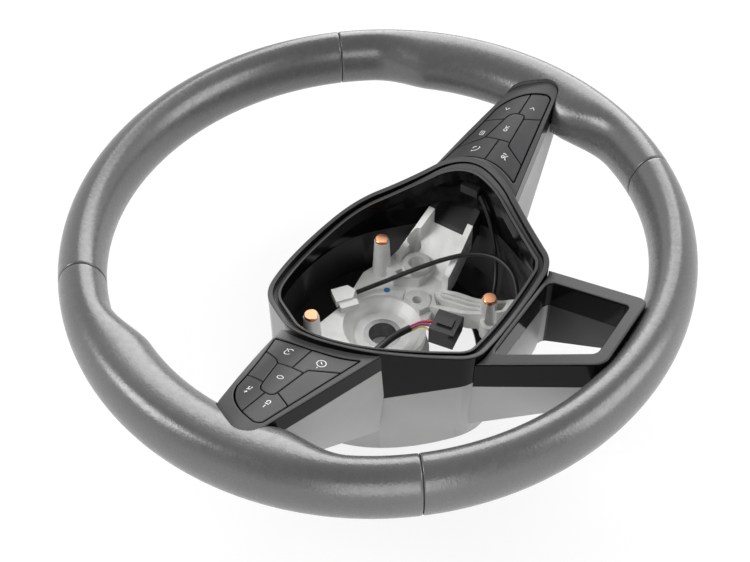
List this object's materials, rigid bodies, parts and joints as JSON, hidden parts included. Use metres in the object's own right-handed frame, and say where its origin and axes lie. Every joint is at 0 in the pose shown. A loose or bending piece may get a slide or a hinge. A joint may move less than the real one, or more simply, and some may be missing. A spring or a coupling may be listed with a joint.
{
  "type": "car steering wheel",
  "caption": "Leather car steering wheel with its airbag bay open: cast armature with column bore, gloss trim, sprung keys on the side spokes, open lower spoke and leads in the hub.",
  "frame": {"origin": "centre of the column bore at the hub's rear face, which is also the plane that the wheel lies on", "axes": "+Z along the steering axis to the driver, +Y to 12 o'clock, +X to the driver's right"},
  "size_m": [0.3682, 0.3606, 0.1207],
  "materials": {
    "alloy": "cast, satin",
    "steel": "satin",
    "copper": "satin",
    "gloss_trim": "gloss",
    "grey_cover": "satin",
    "leather": "fine grain",
    "foam": "matt",
    "key_cap": "satin",
    "black_plastic": "matt",
    "white_plastic": "satin",
    "board": "satin",
    "mat": "matt",
    "cable": "satin",
    "wire_green": "satin",
    "wire_orange": "satin",
    "wire_yellow": "satin",
    "wire_red": "satin",
    "wire_violet": "satin"
  },
  "bodies": {
    "wheel": {"airbag_connector": "white_plastic", "airbag_connector_lock": "white_plastic", "airbag_lead": "cable", "airbag_pins": "copper", "armature": "alloy", "column_bush": "steel", "front_trim": "gloss_trim", "harness_plug": "black_plastic", "harness_sleeve": "cable", "harness_wire_green": "wire_green", "harness_wire_orange": "wire_orange", "harness_wire_red": "wire_red", "harness_wire_violet": "wire_violet", "harness_wire_yellow": "wire_yellow", "leather_bottom": "leather", "leather_left": "leather", "leather_right": "leather", "leather_top": "leather", "left_key_lower_side": "key_cap", "left_key_upper_side": "key_cap", "left_spoke_cover": "grey_cover", "left_switch_board": "board", "left_switch_mat": "mat", "left_switch_plug": "black_plastic", "left_switch_tray": "black_plastic", "lower_spoke_trim": "gloss_trim", "rear_cover": "grey_cover", "right_key_lower_side": "key_cap", "right_spoke_cover": "grey_cover", "right_switch_board": "board", "right_switch_lead": "cable", "right_switch_mat": "mat", "right_switch_plug": "black_plastic", "right_switch_tray": "black_plastic", "rim_foam": "foam", "rim_ring": "steel"},
    "left_key_centre": {"left_key_centre": "key_cap"},
    "left_key_lower_hub": {"left_key_lower_hub": "key_cap"},
    "left_key_lower_rim": {"left_key_lower_rim": "key_cap"},
    "left_key_upper_hub": {"left_key_upper_hub": "key_cap"},
    "left_key_upper_rim": {"left_key_upper_rim": "key_cap"},
    "right_key_centre": {"right_key_centre": "key_cap"},
    "right_key_lower_hub": {"right_key_lower_hub": "key_cap"},
    "right_key_lower_rim": {"right_key_lower_rim": "key_cap"},
    "right_key_upper_hub": {"right_key_upper_hub": "key_cap"},
    "right_key_upper_rim": {"right_key_upper_rim": "key_cap"},
    "right_key_upper_side": {"right_key_upper_side": "key_cap"}
  },
  "joints": [
    {"name": "left_key_centre_push", "type": "slide", "parent": "wheel", "child": "left_key_centre", "axis": [-0.1994, 0, -0.9799], "range_m": [0, 0.001], "stiffness_N_per_m": 1500},
    {"name": "left_key_lower_hub_push", "type": "slide", "parent": "wheel", "child": "left_key_lower_hub", "axis": [-0.1994, 0, -0.9799], "range_m": [0, 0.001], "stiffness_N_per_m": 1500},
    {"name": "left_key_lower_rim_push", "type": "slide", "parent": "wheel", "child": "left_key_lower_rim", "axis": [-0.1994, 0, -0.9799], "range_m": [0, 0.001], "stiffness_N_per_m": 1500},
    {"name": "left_key_upper_hub_push", "type": "slide", "parent": "wheel", "child": "left_key_upper_hub", "axis": [-0.1994, 0, -0.9799], "range_m": [0, 0.001], "stiffness_N_per_m": 1500},
    {"name": "left_key_upper_rim_push", "type": "slide", "parent": "wheel", "child": "left_key_upper_rim", "axis": [-0.1994, 0, -0.9799], "range_m": [0, 0.001], "stiffness_N_per_m": 1500},
    {"name": "right_key_centre_push", "type": "slide", "parent": "wheel", "child": "right_key_centre", "axis": [0.1994, 0, -0.9799], "range_m": [0, 0.001], "stiffness_N_per_m": 1500},
    {"name": "right_key_lower_hub_push", "type": "slide", "parent": "wheel", "child": "right_key_lower_hub", "axis": [0.1994, 0, -0.9799], "range_m": [0, 0.001], "stiffness_N_per_m": 1500},
    {"name": "right_key_lower_rim_push", "type": "slide", "parent": "wheel", "child": "right_key_lower_rim", "axis": [0.1994, 0, -0.9799], "range_m": [0, 0.001], "stiffness_N_per_m": 1500},
    {"name": "right_key_upper_hub_push", "type": "slide", "parent": "wheel", "child": "right_key_upper_hub", "axis": [0.1994, 0, -0.9799], "range_m": [0, 0.001], "stiffness_N_per_m": 1500},
    {"name": "right_key_upper_rim_push", "type": "slide", "parent": "wheel", "child": "right_key_upper_rim", "axis": [0.1994, 0, -0.9799], "range_m": [0, 0.001], "stiffness_N_per_m": 1500},
    {"name": "right_key_upper_side_push", "type": "slide", "parent": "wheel", "child": "right_key_upper_side", "axis": [0.1994, 0, -0.9799], "range_m": [0, 0.001], "stiffness_N_per_m": 1500}
  ]
}
